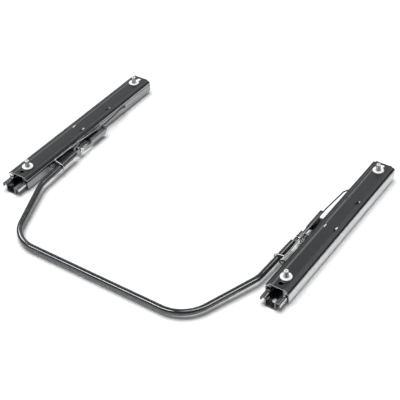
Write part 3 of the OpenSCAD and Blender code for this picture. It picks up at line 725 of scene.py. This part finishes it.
class SLIDERAIL_OT_spring_wires(bpy.types.Operator):
    """Bend the spring wires"""

    bl_idname = "slide_rail.spring_wires"
    bl_label = "Spring wires"

    def execute(self, context):
        """A wire is a circle carried along a line with rounded corners, closed by a dome at each end.

        Its rear is held by the carriage and its hook follows the bar, so it bends between the two. It is hard
        It is hard drawn steel, with streaks along it and bright glints, and darker behind the latch than
        beside it.
        """
        sizes, colours = context.scene.slide_rail_sizes, context.scene.slide_rail_colours
        steel = new_material("drawn_spring_wire", colours.wire, shade=0.7, blotch=(2.0, 0.6),
                             rough=(0.2, 0.32), bump=(0.5, 0.1), shader={"Metallic": 1.0},
                             stretch=(1.0, 20.0, 1.0))
        self.rear_darkening(steel, colours.shade_and_wire_dark)
        # Corners as in the part's source: inboard of the rail's middle, behind its front end, and up
        route = np.array([
            (19.5, 292, 16.4), (25.6, 292, 16.4), (27.4, 276, 22.1), (31.5, 218.6, 21.6),
            (29.2, 140.5, 26.15), (27.5, 71.5, 26.63), (47.75, 71.5, 21.77), (47.75, 71.8, 9.5)])
        r, bend = sizes.wire_d / 2 / MM, sizes.wire_bend / MM
        bend_steps, dome_steps, round_steps, spacing = 12, 6, 20, 2.0
        # A direction that no stretch of the wire follows
        lean = (0.6, 0.5, 0.62)
        path = dense_path(rounded_path(route, [bend] * (len(route) - 2), bend_steps), spacing)
        quarter = np.linspace(0, math.pi / 2, dome_steps)
        dome, inset = np.sin(quarter), r - r * np.cos(quarter)
        first, last = path[1] - path[0], path[-1] - path[-2]
        head = path[0] + np.outer(inset, first / np.linalg.norm(first))
        tail = path[-1] - np.outer(inset, last / np.linalg.norm(last))
        # The domes' circles take the place of the path's two points at either end
        line = np.concatenate([head, path[2:-2], tail[::-1]])
        radius = r * np.concatenate([dome, np.ones(len(path) - 4), dome[::-1]])
        for side in SIDES:
            flip = np.array([-sign(side), 1.0, 1.0])
            shift = np.array([sign(side) * RAIL_X, FRONT_Y, 0.0])
            points = rings(line, radius, round_steps, lean).reshape(-1, 3) * flip + shift
            made = put_mesh(f"{side}_bent_wire", points, grid_faces(len(line), round_steps, False), steel)
            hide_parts(f"{side}_spring_wire")
            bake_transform(made)
        return {"FINISHED"}

    def rear_darkening(self, steel, shade_and_wire_dark):
        """Darkens the wire, from none of the dark colour beside the latch to most of it behind the latch."""
        tree = steel.node_tree
        along = point_place(tree)["Y"]
        start_y, dark_y, most = -10.0, 50.0, 0.9
        darkness = add_node(tree, "ShaderNodeMapRange", {"Value": along},
                        {"From Min": start_y * MM, "From Max": dark_y * MM, "To Max": most})
        paint(steel, darkness.outputs["Result"], shade_and_wire_dark)


class SLIDERAIL_OT_release_bar(bpy.types.Operator):
    """Bend the release bar"""

    bl_idname = "slide_rail.release_bar"
    bl_label = "Release bar"

    def execute(self, context):
        """The bar is a ring section carried along its bent line: outer circles from end to end, then inner
        circles back again, so the wall and its two end rings close into one surface.

        Its smooth dark lacquer holds metal flakes, which give long grey glints along the tube.
        """
        sizes = context.scene.slide_rail_sizes
        coat = new_material("dark_metallic_lacquered_tube", context.scene.slide_rail_colours.bar, shade=0.8,
                            blotch=(20.0, 0.5), rough=(0.14, 0.2), bump=(0.8, 0.04), shader={"Metallic": 1.0})
        end_x, bend_x, corner_x = RAIL_X - 39.0, RAIL_X - 43.3, RAIL_X - 96.8
        bend_y, front_y, end_y, end_z = -102.8, -240.9, FRONT_Y + 117.0, 17.6
        bend_r, corner_r, slope = 61.9, 63.6, math.radians(1.55)
        bend_steps, spacing = 28, 6.0
        plan = [(-end_x, 0, 0), (-bend_x, bend_y, 0), (-corner_x, front_y, 0), (corner_x, front_y, 0),
                (bend_x, bend_y, 0), (end_x, 0, 0)]
        flat = rounded_path(plan, [bend_r, corner_r, corner_r, bend_r], bend_steps)
        ys = end_y + flat[:, 1] * math.cos(slope)
        zs = end_z + flat[:, 1] * math.sin(slope)
        path = dense_path(np.stack([flat[:, 0], ys, zs], axis=-1), spacing)
        lean = (0.0, -math.sin(slope), math.cos(slope))
        outer = rings(path, sizes.bar_d / 2 / MM, TURNED_STEPS, lean)
        inner = rings(path, sizes.bar_d / 2 / MM - sizes.bar_wall / MM, TURNED_STEPS, lean)
        wall = np.concatenate([outer, inner[::-1]])
        faces = grid_faces(len(wall), TURNED_STEPS, True)
        made = put_mesh("bent_release_bar", wall.reshape(-1, 3), faces, coat)
        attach(made, "release")
        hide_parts("release_bar")
        return {"FINISHED"}


class SLIDERAIL_OT_stage(bpy.types.Operator):
    """Set the floor, the light and the camera"""

    bl_idname = "slide_rail.stage"
    bl_label = "Stage"

    def execute(self, context):
        """A pale floor, soft light and the photograph's view, with colours shown as they are."""
        scene = context.scene
        scene.view_settings.view_transform = "Standard"
        self.floor(scene)
        self.light(scene)
        self.camera(scene)
        return {"FINISHED"}

    def floor(self, scene):
        """A wide flat sheet just under the rails, in plain pale matt paint."""
        half, low = 15.0, -0.2 * MM
        matt = bpy.data.materials.new("pale_matt_floor_paint")
        matt.use_nodes = True
        face = matt.node_tree.nodes["Principled BSDF"]
        look = {"Base Color": opaque(scene.slide_rail_colours.floor), "Roughness": 0.9,
                "Specular IOR Level": 0.1, "Emission Color": WHITE, "Emission Strength": 0.03}
        for key, value in look.items():
            face.inputs[key].default_value = value
        mesh = bpy.data.meshes.new("floor")
        corners = [(-half, -half, low), (half, -half, low), (half, half, low), (-half, half, low)]
        mesh.from_pydata(corners, [], [(0, 1, 2, 3)])
        mesh.materials.append(matt)
        made = bpy.data.objects.new("floor", mesh)
        scene.collection.objects.link(made)

    def light(self, scene):
        """A dim ceiling, one broad soft lamp that lights the pale floor, and five lamps that only show as
        reflections in the glossy surfaces."""
        dim, power, softness, shine = 0.22, 3.1, math.radians(45), Vector((0.2, -0.05, -1.0))
        sky = bpy.data.worlds.new("dim_studio_ceiling")
        sky.use_nodes = True
        back = sky.node_tree.nodes["Background"]
        back.inputs["Color"].default_value = WHITE
        back.inputs["Strength"].default_value = dim
        scene.world = sky
        soft = bpy.data.lights.new("soft_lamp", "SUN")
        soft.energy = power
        soft.angle = softness
        made = bpy.data.objects.new("soft_lamp", soft)
        made.rotation_euler = shine.to_track_quat("-Z", "Y").to_euler()
        made.visible_glossy = False
        scene.collection.objects.link(made)
        self.strip(scene, "front_strip", (-1.7, -1.95, 3.0), (3.0, 0.9), power=100.0, turn=17)
        self.strip(scene, "right_strip", (2.3, 0.4, 3.0), (5.0, 0.9), power=80.0, turn=17)
        self.strip(scene, "left_lamp", (-3.5, 0.5, 2.9), (1.5, 2.0), power=95.0, turn=0)
        self.strip(scene, "rear_lamp", (0.6, 1.9, 2.4), (1.3, 0.5), power=10.0, turn=None)
        self.strip(scene, "rear_screen", (-1.57, 2.96, 2.18), (4.6, 1.85), power=17.0, turn=None)

    def strip(self, scene, name, place, size, power, turn):
        """A lamp that glossy surfaces mirror: level and turned about the upright, or aimed at the middle."""
        lamp = bpy.data.lights.new(name, "AREA")
        lamp.shape = "RECTANGLE"
        lamp.size, lamp.size_y = size
        lamp.energy = power
        made = bpy.data.objects.new(name, lamp)
        made.location = place
        if turn is None:
            made.rotation_euler = (-made.location).to_track_quat("-Z", "Y").to_euler()
        else:
            made.rotation_euler = (0.0, 0.0, math.radians(turn))
        made.visible_diffuse = False
        scene.collection.objects.link(made)

    def camera(self, scene):
        """A long lens at the photograph's angle, turned a little about its own axis."""
        around, above, roll = math.radians(35.36), math.radians(39.48), math.radians(-2.18)
        aim, distance, focal = Vector((47.03, -49.54, 26.0)) * MM, 1.86436, 95.12
        flat = math.cos(above)
        back = Vector((math.sin(around) * flat, -math.cos(around) * flat, math.sin(above)))
        right = Vector((math.cos(around), math.sin(around), 0.0))
        up = back.cross(right)
        turned = right * math.cos(roll) + up * math.sin(roll)
        raised = up * math.cos(roll) - right * math.sin(roll)
        lens = bpy.data.cameras.new("camera")
        lens.lens = focal
        lens.sensor_width = 36.0
        lens.clip_end = 100.0
        made = bpy.data.objects.new("camera", lens)
        columns = Matrix((turned, raised, back)).transposed().to_4x4()
        made.matrix_world = Matrix.Translation(aim + back * distance) @ columns
        scene.collection.objects.link(made)
        scene.camera = made


class SLIDERAIL_PT_panel(bpy.types.Panel):
    """Lists the pieces and finishes of the slide rails"""

    bl_idname = "SLIDERAIL_PT_panel"
    bl_label = "Slide rail"
    bl_space_type = "VIEW_3D"
    bl_region_type = "UI"
    bl_category = "Slide rail"

    def draw(self, context):
        """One button for each operator, then the sizes and colours."""
        for made in OPERATORS:
            self.layout.operator(made.bl_idname)
        for group in (context.scene.slide_rail_sizes, context.scene.slide_rail_colours):
            for name in group.__annotations__:
                self.layout.prop(group, name)


OPERATORS = (SLIDERAIL_OT_stage, SLIDERAIL_OT_lower_rails, SLIDERAIL_OT_covers, SLIDERAIL_OT_guide_channels,
             SLIDERAIL_OT_latches, SLIDERAIL_OT_bearings, SLIDERAIL_OT_studs, SLIDERAIL_OT_washers,
             SLIDERAIL_OT_pivots, SLIDERAIL_OT_spring_wires, SLIDERAIL_OT_release_bar)
CLASSES = (SlideRailSizes, SlideRailColours) + OPERATORS + (SLIDERAIL_PT_panel,)


def register():
    """Adds the classes and the properties that hold the sizes and colours."""
    for made in CLASSES:
        bpy.utils.register_class(made)
    bpy.types.Scene.slide_rail_sizes = bpy.props.PointerProperty(type=SlideRailSizes)
    bpy.types.Scene.slide_rail_colours = bpy.props.PointerProperty(type=SlideRailColours)


def unregister():
    """Takes the properties and classes away again."""
    del bpy.types.Scene.slide_rail_sizes
    del bpy.types.Scene.slide_rail_colours
    for made in reversed(CLASSES):
        bpy.utils.unregister_class(made)


def main():
    """Builds everything in order."""
    register()
    bpy.ops.slide_rail.stage()
    bpy.ops.slide_rail.lower_rails()
    bpy.ops.slide_rail.covers()
    bpy.ops.slide_rail.guide_channels()
    bpy.ops.slide_rail.latches()
    bpy.ops.slide_rail.bearings()
    bpy.ops.slide_rail.studs()
    bpy.ops.slide_rail.washers()
    bpy.ops.slide_rail.pivots()
    bpy.ops.slide_rail.spring_wires()
    bpy.ops.slide_rail.release_bar()


if __name__ == "__main__":
    main()
